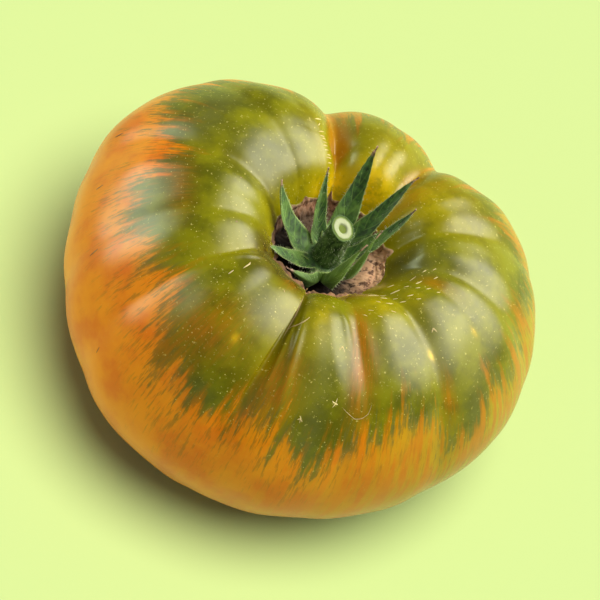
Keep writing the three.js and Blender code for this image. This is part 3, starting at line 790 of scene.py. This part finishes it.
def sepal_frame(sepal, along):
    """Middle line of a sepal and the ways along it, across it and towards its inner face. The middle line
    is a quadratic curve drawn by its root, the belly of its bend and its tip, and pulled to the belly by
    a weight. The blade is turned about it over the first two fifths of its length."""
    start, spread, lift, end, reach, rise, _, turn, pull = sepal
    bends = [about_axis(SEPAL_ROOT, DISC_MIDDLE, math.radians(start)),
             about_axis(spread, DISC_MIDDLE + lift, math.radians(start)),
             about_axis(reach, DISC_TOP + rise, math.radians(end))]
    s = along[:, None]
    weights = [(1 - s) ** 2, 2 * pull * s * (1 - s), s**2]
    slopes = [-2 * (1 - s), 2 * pull * (1 - 2 * s), 2 * s]
    middle = sum(weight * point for weight, point in zip(weights, bends)) / sum(weights)
    forward = unit(sum(slope * point for slope, point in zip(slopes, bends)) - middle * sum(slopes))
    inward = np.stack([-middle[:, 0], -middle[:, 1], np.full(len(along), SEPAL_LOOKS_UP)], axis=-1)
    across = unit(np.cross(forward, inward))
    inner = np.cross(across, forward)
    angle = np.radians(turn) * np.clip(s / SEPAL_TURN_SHARE, 0, 1)
    return (middle, forward, across * np.cos(angle) + inner * np.sin(angle),
            inner * np.cos(angle) - across * np.sin(angle))


def sepal_half(sepal, along):
    """Half a blade's width along it: it grows a little, and then closes as one less a power of the share
    along."""
    return sepal[6] / 2 * np.minimum(1, 0.8 + 1.2 * along) * (1 - along**2.3)


def fold_rise(half, a):
    """Rise of a blade from its midrib to its margins, as a rounded V of the share a across it."""
    return SEPAL_FOLD * half * (np.sqrt(a**2 + 0.03) - 0.17)


def sepal_shape(sepal, seed):
    """Points of one sepal as closed rings round its two faces, with the share along it, the share across
    it and whether the point is on the inner face. The margins ripple and have small teeth, and the tip
    curls."""
    rng = np.random.default_rng(seed)
    along = np.linspace(0, 1, SEPAL_STEPS)
    middle, _, across, inner = sepal_frame(sepal, along)
    half = sepal_half(sepal, along)
    half = np.maximum(half * (1 + 0.05 * np.sin(along * 19 + rng.uniform(0, 6))), SEPAL_LEAST)[:, None]
    curl = np.clip((along - SEPAL_CURL_FROM) / (1 - SEPAL_CURL_FROM), 0, 1)[:, None] ** 2
    middle = middle + curl * (across * rng.uniform(-0.7, 0.7) + inner * rng.uniform(-0.7, 0.3))
    along = along[:, None]
    teeth = SEPAL_TOOTH * np.sin(along * 120 + np.array([[0, 1.7]]))
    teeth = teeth * rng.uniform(0.3, 1.6, (SEPAL_STEPS, 2))
    side = np.linspace(-1, 1, SEPAL_ACROSS)
    rings = []
    for face in (1, 0):
        a = side if face else side[::-1]
        ripple = SEPAL_RIPPLE * half * a**2 * np.sin(along * 17 + np.sign(a) * 1.3 + rng.uniform(0, 1))
        thick = ((SEPAL_MARGIN_THICK + SEPAL_MIDRIB_THICK * (1 - np.abs(a)) ** 0.7)
                 * np.clip(half / 0.8, 0.4, 1))
        height = fold_rise(half, a) + ripple - (1 - face) * thick
        reach = half * a + np.where(np.abs(a) == 1, np.where(a > 0, teeth[:, 1:], -teeth[:, :1]), 0)
        points = middle[:, None] + across[:, None] * reach[..., None] + inner[:, None] * height[..., None]
        rings.append((points, *np.broadcast_arrays(along, a, height, float(face))))
    points, along, across, _, on_inner = (np.concatenate(parts, axis=1) for parts in zip(*rings))
    return points, along, across, on_inner


LEAF_DARK = colour(24, 50, 14)
LEAF_MIDDLE = colour(54, 92, 28)
LEAF_LIGHT = colour(104, 140, 52)
LEAF_MARGIN = colour(144, 164, 84)
DRY_PINK = colour(190, 150, 128)
DRY_BROWN = colour(92, 62, 46)
HAIR_SHEEN = colour(200, 215, 170)
VEINS_ALONG, VEINS_SLANT = 46.0, 9.0

paint = Paint("calyx_green")
along_value = paint.value("along")
leaf_noise = paint.noise(paint.place(), 900.0, detail=4, roughness=0.6)
leaf_clouds = paint.noise(paint.place(), 260.0, detail=2)
from_midrib = paint.math("ABSOLUTE", paint.value("across"))
vein_place = paint.math(
    "SUBTRACT", paint.times(along_value, VEINS_ALONG), paint.times(from_midrib, VEINS_SLANT))
veins = paint.ramp(paint.math("SINE", vein_place), 0.72, 1.0)
tip_place = paint.plus(along_value, paint.times(leaf_noise, 0.08))
leaf = paint.layers(
    paint.mix(paint.ramp(leaf_noise, 0.35, 0.65), LEAF_DARK, LEAF_MIDDLE),
    (paint.ramp(leaf_clouds, 0.45, 0.70, 0.0, 0.6), LEAF_LIGHT),
    (paint.times(veins, 0.35), LEAF_LIGHT),
    (paint.ramp(from_midrib, 0.10, 0.0, 0.0, 0.5), LEAF_DARK),
    (paint.ramp(from_midrib, 0.86, 1.0, 0.0, 0.75), LEAF_MARGIN),
    (paint.ramp(paint.value("inner_face"), 1.0, 0.0, 0.0, 0.5), LEAF_LIGHT),
    (paint.ramp(tip_place, 0.96, 1.0), DRY_BROWN),
    (paint.broken(paint.ramp(tip_place, 0.97, 1.02), leaf_noise, 0.44, 0.56), DRY_PINK))
vein_relief = paint.bump(veins, 0.00010, 0.6, under=paint.bump(leaf_noise, 0.00012, 0.8))
sepal_material = paint.finish(Base_Color=leaf, Normal=vein_relief, Roughness=0.62, Sheen_Weight=0.18,
                              Sheen_Roughness=0.45, Sheen_Tint=HAIR_SHEEN)

disc_turn = np.linspace(0, 2 * math.pi, DISC_SIDES, endpoint=False)
disc_lobes = 1 + 0.05 * np.sin(9 * disc_turn + 0.6) + 0.03 * np.sin(4 * disc_turn)
disc_lobed = 1 + (disc_lobes - 1) * np.clip((DISC_PROFILE[:, :1] - 3.4) / 1.5, 0, 1)
disc_rings = about_axis(DISC_PROFILE[:, :1] * disc_lobed, DISC_BOTTOM + DISC_PROFILE[:, 1:], disc_turn)
sepals = [sepal_shape(sepal, SEPAL_SEED + number) for number, sepal in enumerate(SEPALS)]
calyx_shape = joined(closed_tube(rings) for rings in (disc_rings[::-1], *(sepal[0] for sepal in sepals)))
calyx_leaves = make_piece("calyx_leaves", *calyx_shape, sepal_material, "calyx_green", "calyx")
for part, (name, on_disc) in enumerate((("along", 0.1), ("across", 0.5), ("inner_face", 1.0)), 1):
    give_values(calyx_leaves, name, np.concatenate(
        [np.full(disc_rings[..., 0].size, on_disc), *(sepal[part].ravel() for sepal in sepals)]))


# Stalk. The stub that is left of it stands upright on the disc: hairy green bark round a pale ring of
# wood, with soft green pith in the middle of the square cut.
STALK_BOTTOM = DISC_TOP + 0.3
STALK_TOP = 60.9
STALK_FOOT, STALK_WAIST, STALK_END = 3.4, 2.9, 2.9
STALK_SIDES = 96
STALK_LUMP_SIZE, STALK_LUMP_DEPTH = 2.2, 0.05
CUT_SLOPE = (0.33, -0.15)
CUT_DEPTH = 3.0
# The cut end from its edge to the middle: share of the radius, and rise in millimetres
CUT_SHARES = np.array([
    0.985, 0.95, 0.90, 0.87, 0.84, 0.78, 0.68, 0.58, 0.48, 0.40, 0.36, 0.33, 0.29, 0.2, 0.08])
CUT_RISES = np.array([
    0.10, 0.14, 0.08, 0.02, 0.06, 0.12, 0.13, 0.12, 0.10, 0.05, -0.08, -0.18, -0.24, -0.27, -0.28])
ON_BARK = 2.0

stalk_length = STALK_TOP - STALK_BOTTOM
stalk_share = np.linspace(0, 1, 40)
stalk_radius = np.interp(stalk_share, [0, 0.05, 0.15, 0.4, 0.7, 0.9, 1],
                         [STALK_FOOT - 0.2, STALK_FOOT, STALK_FOOT - 0.15, STALK_WAIST, STALK_WAIST,
                          STALK_END - 0.05, STALK_END])
cut_radius = STALK_END * CUT_SHARES
stalk_turn = np.linspace(0, 2 * math.pi, STALK_SIDES, endpoint=False)
stalk_profile = np.concatenate([stalk_radius, cut_radius])[:, None]
stalk_height = np.concatenate([STALK_BOTTOM + stalk_share * stalk_length, STALK_TOP + CUT_RISES])[:, None]
stalk_cut = np.concatenate([np.full(len(stalk_radius), ON_BARK), cut_radius / STALK_END])
oval = (1 + 0.025 * np.cos(2 * stalk_turn + 0.8) + 0.012 * np.cos(5 * stalk_turn)
        + 0.008 * np.sin(11 * stalk_turn))
stalk_rings = about_axis(stalk_profile * oval, stalk_height, stalk_turn)
lumps = waves(stalk_rings, STALK_LUMP_SIZE, 21) * STALK_LUMP_DEPTH * (stalk_cut == ON_BARK)[:, None]
stalk_rings = stalk_rings + lumps[..., None] * about_axis(1, 0, stalk_turn)
near_cut = np.clip((stalk_rings[..., 2] - STALK_TOP + CUT_DEPTH) / CUT_DEPTH, 0, 1)
stalk_rings[..., 2] -= (stalk_rings[..., 0] * CUT_SLOPE[0] + stalk_rings[..., 1] * CUT_SLOPE[1]) * near_cut

BARK_DARK = colour(34, 56, 24)
BARK_GREEN = colour(78, 104, 52)
BARK_EDGE = colour(54, 76, 30)
RING_PALE = colour(150, 158, 122)
RING_GREEN = colour(84, 104, 30)
PITH_GREEN = colour(82, 98, 2)

paint = Paint("stalk_green")
cut_share = paint.value("cut")
bark_noise = paint.noise(paint.place(), detail=4, roughness=0.6, stretch=(1400.0, 1400.0, 500.0))
ring_place = paint.plus(cut_share, paint.times(paint.noise(paint.place(), 1500.0), 0.06))
bark = paint.mix(paint.ramp(bark_noise, 0.35, 0.65), BARK_DARK, BARK_GREEN)
stalk_colour = paint.layers(
    PITH_GREEN,
    (paint.ramp(ring_place, 0.30, 0.44), RING_PALE),
    (paint.ramp(ring_place, 0.70, 0.84), RING_GREEN),
    (paint.ramp(ring_place, 0.86, 0.96), BARK_EDGE),
    (paint.ramp(cut_share, 1.05, 1.6), bark))
stalk_material = paint.finish(
    Base_Color=stalk_colour, Normal=paint.bump(bark_noise, 0.00015, 0.7), Roughness=0.55,
    Specular_IOR_Level=0.15, Sheen_Weight=0.07, Sheen_Roughness=0.4, Sheen_Tint=HAIR_SHEEN,
    Subsurface_Weight=0.1, Subsurface_Radius=(0.5, 0.6, 0.2), Subsurface_Scale=0.002)
stalk_shape = closed_tube(stalk_rings[::-1])
stalk_stub = make_piece("stalk_stub", *stalk_shape, stalk_material, "stalk_green", "stalk")
give_values(stalk_stub, "cut", np.repeat(stalk_cut[::-1], STALK_SIDES))


# Hairs. Fine pale hairs fringe the margins of the sepals, and stand on their backs and all round the
# stalk. Each is a thin cone that grows from the leaf or the bark.
MARGIN_HAIRS = 75
FACE_HAIRS = 70
STALK_HAIRS = 340
HAIR_RADIUS, HAIR_SUNK = 0.022, 0.1
HAIR_LENGTHS = 0.25, 0.8
HAIR_FORWARD, HAIR_INWARD, HAIR_UPWARD = 0.4, 0.2, 0.15
LEAF_HAIR_DISORDER, STALK_HAIR_DISORDER = 0.35, 0.3
FACE_HAIRS_OUT_TO = 0.85
BLADE_THICKNESS = 0.25

hair_rng = np.random.default_rng(61)
hair_roots, hair_ways = [], []
for sepal in SEPALS:
    for side in (-1, 1, 0):
        count = MARGIN_HAIRS if side else FACE_HAIRS
        share = np.sort(hair_rng.uniform(0.05, 0.97, count))
        middle, forward, across, inner = sepal_frame(sepal, share)
        half = sepal_half(sepal, share)[:, None]
        place_across = side if side else hair_rng.uniform(-FACE_HAIRS_OUT_TO, FACE_HAIRS_OUT_TO, (count, 1))
        face = 0 if side else hair_rng.choice([-1.0, 1.0], (count, 1))
        hair_roots.append(middle + across * half * place_across
                          + inner * (fold_rise(half, place_across) - BLADE_THICKNESS * (face < 0)))
        hair_ways.append(unit(
            across * side + inner * (face + HAIR_INWARD * (face == 0)) + forward * HAIR_FORWARD
            + hair_rng.normal(0, LEAF_HAIR_DISORDER, (count, 3))))
hair_turn = hair_rng.uniform(0, 2 * math.pi, STALK_HAIRS)
hair_height = hair_rng.uniform(0.03, 0.97, STALK_HAIRS)
hair_roots.append(about_axis(np.interp(hair_height, stalk_share, stalk_radius),
                             STALK_BOTTOM + hair_height * stalk_length, hair_turn))
hair_ways.append(unit(
    about_axis(1, 0, hair_turn) + hair_rng.normal(0, STALK_HAIR_DISORDER, (STALK_HAIRS, 3))
    + [0, 0, HAIR_UPWARD]))
hair_roots, hair_ways = np.concatenate(hair_roots), np.concatenate(hair_ways)
hair_lengths = hair_rng.uniform(*HAIR_LENGTHS, len(hair_roots))


def cones(roots, ways, lengths, radius):
    """Vertices and faces of thin three-sided cones: three feet round each root and a point at its way's
    end."""
    sideways = unit(np.cross(ways, [0.3, 0.5, 0.8]))
    other = np.cross(ways, sideways)
    turn = np.arange(3)[:, None] * 2 * math.pi / 3
    feet = roots[:, None] - HAIR_SUNK * ways[:, None] + radius * (
        sideways[:, None] * np.cos(turn) + other[:, None] * np.sin(turn))
    points = np.concatenate([feet, (roots + ways * lengths[:, None])[:, None]], axis=1)
    faces = np.arange(len(roots))[:, None, None] * 4 + [[0, 2, 1], [0, 1, 3], [1, 2, 3], [2, 0, 3]]
    return points.reshape(-1, 3), faces.reshape(-1, 3).tolist()


paint = Paint("pale_hair")
hair_noise = paint.noise(paint.place(), 300.0, detail=1)
hair_colour = paint.mix(paint.ramp(hair_noise, 0.4, 0.6), colour(168, 182, 124), colour(214, 220, 184))
hair_material = paint.finish(Base_Color=hair_colour, Roughness=0.5)
hair_shape = cones(hair_roots, hair_ways, hair_lengths, HAIR_RADIUS)
calyx_hairs = make_piece("calyx_hairs", *hair_shape, hair_material, "calyx_green", smooth=False)


# Floor and light. A plain pale table under soft studio light. The fruit has a wide light from behind on
# the right, a low one on its left and two weak ones in front, each a stack of discs, so that its edge is
# soft. The first two have a twin that shows only as a sheen. Two suns light the table alone.
FLOOR_COLOUR = colour(184, 204, 135)
FLOOR_CORNERS = [(-3, -3, 0), (3, -3, 0), (3, 3, 0), (-3, 3, 0)]
SURROUNDINGS = 0.12
SURROUNDINGS_COLOUR = (1.0, 0.98, 0.95, 1)
LIGHT_COLOUR = (1.0, 0.97, 0.86)
LEFT_SHEEN_COLOUR = (0.86, 1.0, 0.74)
COOL_COLOUR = (0.02, 0.45, 1.0)
DISC_GAP = 0.004
# Name, azimuth, elevation and distance from the fruit's middle, half angles of its discs, the radiance of
# each disc, whether it lights the skin softly or shows only as a sheen, and its colour
LIGHTS = [
    ("overhead", 40, 48, 0.90, (22, 31, 40), 2.5, "soft", LIGHT_COLOUR),
    ("overhead_sheen", 40, 48, 0.91, (22, 31, 40), 3.25, "sheen", LIGHT_COLOUR),
    ("left", 176, 13, 0.34, (11, 17, 23), 1.2, "soft", LIGHT_COLOUR),
    ("left_sheen", 176, 13, 0.35, (11, 17, 23), 3.1, "sheen", LEFT_SHEEN_COLOUR),
    ("front", 225, 22, 0.90, (30,), 0.52, "soft", LIGHT_COLOUR),
    ("front_high", 285, 50, 0.90, (30,), 0.86, "soft", LIGHT_COLOUR),
]
# Name, azimuth and elevation of each sun over the table, the angle that it fills, its strength and its
# colour. The faint cool one reaches the table under the bulge of the fruit.
TABLE_LIGHTS = [
    ("table_light", 318, 78, 42, 4.76, LIGHT_COLOUR),
    ("table_cool_light", 255, 40, 60, 0.26, COOL_COLOUR),
]

floor_material = Paint("floor_matt").finish(Base_Color=FLOOR_COLOUR, Roughness=0.9, Specular_IOR_Level=0.1)
floor_mesh = bpy.data.meshes.new("floor")
floor_mesh.from_pydata(FLOOR_CORNERS, [], [(0, 1, 2, 3)])
floor_mesh.materials.append(floor_material)
floor = bpy.data.objects.new("floor", floor_mesh)
bpy.context.scene.collection.objects.link(floor)

fruit_alone = bpy.data.collections.new("fruit_alone")
table_alone = bpy.data.collections.new("table_alone")
for piece in (fruit_skin, cork_marks, calyx_leaves, stalk_stub, calyx_hairs):
    fruit_alone.objects.link(piece)
table_alone.objects.link(floor)


def add_light(name, kind, tint, energy, receivers):
    """A light that falls on the receivers alone."""
    light = bpy.data.objects.new(name, bpy.data.lights.new(name, kind))
    light.data.color = tint
    light.data.energy = energy
    light.light_linking.receiver_collection = receivers
    bpy.context.scene.collection.objects.link(light)
    return light


for light_name, azimuth, elevation, distance, half_angles, radiance, kind, tint in LIGHTS:
    elevation = math.radians(elevation)
    back = about_axis(math.cos(elevation), math.sin(elevation), math.radians(azimuth))
    sideways = unit(np.cross([0.0, 0.0, 1.0], back))
    for number, half_angle in enumerate(half_angles):
        size = 2 * distance * math.tan(math.radians(half_angle))
        energy = radiance * math.pi * math.pi * size**2 / 4
        light = add_light(f"{light_name}_{number}", "AREA", tint, energy, fruit_alone)
        light.data.shape = "DISK"
        light.data.size = size
        light.visible_camera = False
        light.visible_glossy = kind == "sheen"
        light.visible_diffuse = kind == "soft"
        light.matrix_world = facing(sideways, np.cross(back, sideways), back,
                                    VIEW_TARGET + (distance + DISC_GAP * number) * back)

for light_name, azimuth, elevation, angle, strength, tint in TABLE_LIGHTS:
    light = add_light(light_name, "SUN", tint, strength, table_alone)
    light.data.angle = math.radians(angle)
    light.visible_glossy = False
    light.rotation_euler = (0, math.radians(90 - elevation), math.radians(azimuth))

surroundings = bpy.data.worlds.new("surroundings")
surroundings.use_nodes = True
sky = surroundings.node_tree.nodes["Background"].inputs
sky["Color"].default_value = SURROUNDINGS_COLOUR
sky["Strength"].default_value = SURROUNDINGS
bpy.context.scene.world = surroundings
bpy.context.scene.view_settings.view_transform = "Standard"
